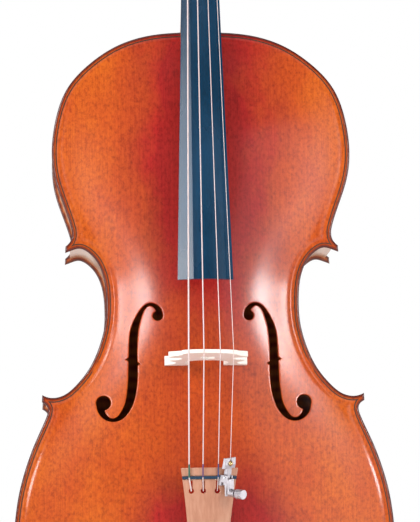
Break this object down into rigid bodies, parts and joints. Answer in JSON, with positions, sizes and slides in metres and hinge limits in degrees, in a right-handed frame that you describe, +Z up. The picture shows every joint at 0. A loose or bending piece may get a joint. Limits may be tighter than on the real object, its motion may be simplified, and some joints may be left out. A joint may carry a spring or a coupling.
{
  "type": "cello",
  "caption": "Full-size cello with arched plates, f-holes, pegs, fingerboard, bridge, tailpiece with a fine tuner, and a sliding endpin.",
  "frame": {"origin": "the endpin's point, on the centre plane and midway through the ribs' depth", "axes": "+Z up along the body to the scroll, the front faces -Y, the treble side is +X"},
  "size_m": [0.443, 0.2608, 1.4728],
  "materials": {
    "top_varnish": "glossy orange-red varnish on spruce",
    "body_varnish": "glossy orange-brown varnish on flamed maple",
    "purfling": "black and pale wood strips",
    "plain_spruce": "bare spruce",
    "neck_maple": "oiled and varnished maple",
    "ebony": "polished ebony",
    "bridge_maple": "bare maple",
    "boxwood": "polished boxwood",
    "string_metal": "flat-wound steel",
    "gut_cord": "braided synthetic cord",
    "steel": "polished steel",
    "nickel": "satin nickel",
    "ball_brass": "polished brass"
  },
  "bodies": {
    "cello_body": {"top_plate": "top_varnish", "back_plate": "body_varnish", "top_purfling": "purfling", "back_purfling": "purfling", "top_block": "plain_spruce", "bottom_block": "plain_spruce", "corner_blocks": "plain_spruce", "top_linings": "plain_spruce", "back_linings": "plain_spruce", "bass_bar": "plain_spruce", "sound_post": "plain_spruce", "neck_and_scroll": "neck_maple", "fingerboard": "ebony", "nut": "ebony", "saddle": "ebony", "bridge": "bridge_maple", "tailpiece": "boxwood", "tailpiece_fret": "ebony", "tailgut": "gut_cord", "tuner_bracket": "nickel", "tuner_pin": "steel", "endpin_plug": "ebony", "endpin_collar": "steel", "rib_upper_bass": "body_varnish", "rib_upper_treble": "body_varnish", "rib_centre_bass": "body_varnish", "rib_centre_treble": "body_varnish", "rib_lower_bass": "body_varnish", "rib_lower_treble": "body_varnish", "string_c": "string_metal", "string_g": "string_metal", "string_d": "string_metal", "string_a": "string_metal"},
    "endpin": {"endpin_rod": "steel"},
    "clamp_screw": {"clamp_screw_shank": "steel"},
    "clamp_wing": {"clamp_screw_head": "steel"},
    "tuner_lever_body": {"tuner_lever": "nickel", "string_a_ball": "ball_brass"},
    "tuner_screw": {"tuner_screw_shank": "steel"},
    "tuner_knob": {"tuner_screw_head": "nickel"},
    "peg_c_body": {"peg_c": "boxwood", "string_turns_c": "string_metal"},
    "peg_g_body": {"peg_g": "boxwood", "string_turns_g": "string_metal"},
    "peg_d_body": {"peg_d": "boxwood", "string_turns_d": "string_metal"},
    "peg_a_body": {"peg_a": "boxwood", "string_turns_a": "string_metal"}
  },
  "joints": [
    {"name": "endpin_slide", "type": "slide", "parent": "cello_body", "child": "endpin", "axis": [0, 0, 1], "range_m": [-0.1, 0.225]},
    {"name": "clamp_screw_slide", "type": "slide", "parent": "cello_body", "child": "clamp_screw", "axis": [1, 0, 0], "range_m": [0, 0.0016]},
    {"name": "clamp_screw_turn", "type": "hinge", "parent": "clamp_screw", "child": "clamp_wing", "pos_m": [0.02, 0, 0.25925], "axis": [1, 0, 0], "range_deg": [0, 720]},
    {"name": "tuner_screw_slide", "type": "slide", "parent": "cello_body", "child": "tuner_screw", "axis": [0.682, -0.7172, -0.1434], "range_m": [-0.00101, 0.00101]},
    {"name": "tuner_screw_turn", "type": "hinge", "parent": "tuner_screw", "child": "tuner_knob", "pos_m": [0.03214, -0.13273, 0.46695], "axis": [0.682, -0.7172, -0.1434], "range_deg": [-720, 720]},
    {"name": "tuner_lever_tilt", "type": "hinge", "parent": "cello_body", "child": "tuner_lever_body", "pos_m": [0.023, -0.12656, 0.48603], "axis": [0.7314, 0.6688, 0.1338], "range_deg": [-3.4, 3.4]},
    {"name": "peg_c_turn", "type": "hinge", "parent": "cello_body", "child": "peg_c_body", "pos_m": [0, -0.01462, 1.31885], "axis": [1, 0, 0], "continuous": true},
    {"name": "peg_g_turn", "type": "hinge", "parent": "cello_body", "child": "peg_g_body", "pos_m": [0, 0.00119, 1.37153], "axis": [1, 0, 0], "continuous": true},
    {"name": "peg_d_turn", "type": "hinge", "parent": "cello_body", "child": "peg_d_body", "pos_m": [0, 0.00895, 1.39739], "axis": [1, 0, 0], "continuous": true},
    {"name": "peg_a_turn", "type": "hinge", "parent": "cello_body", "child": "peg_a_body", "pos_m": [0, -0.00686, 1.34471], "axis": [1, 0, 0], "continuous": true}
  ],
  "couplings": [
    {"joint": "clamp_screw_slide", "follows": "clamp_screw_turn", "m_per_rad": 0.00011937},
    {"joint": "tuner_screw_slide", "follows": "tuner_screw_turn", "m_per_rad": 0.000079577},
    {"joint": "tuner_lever_tilt", "follows": "tuner_screw_turn", "ratio": -0.0045473}
  ]
}
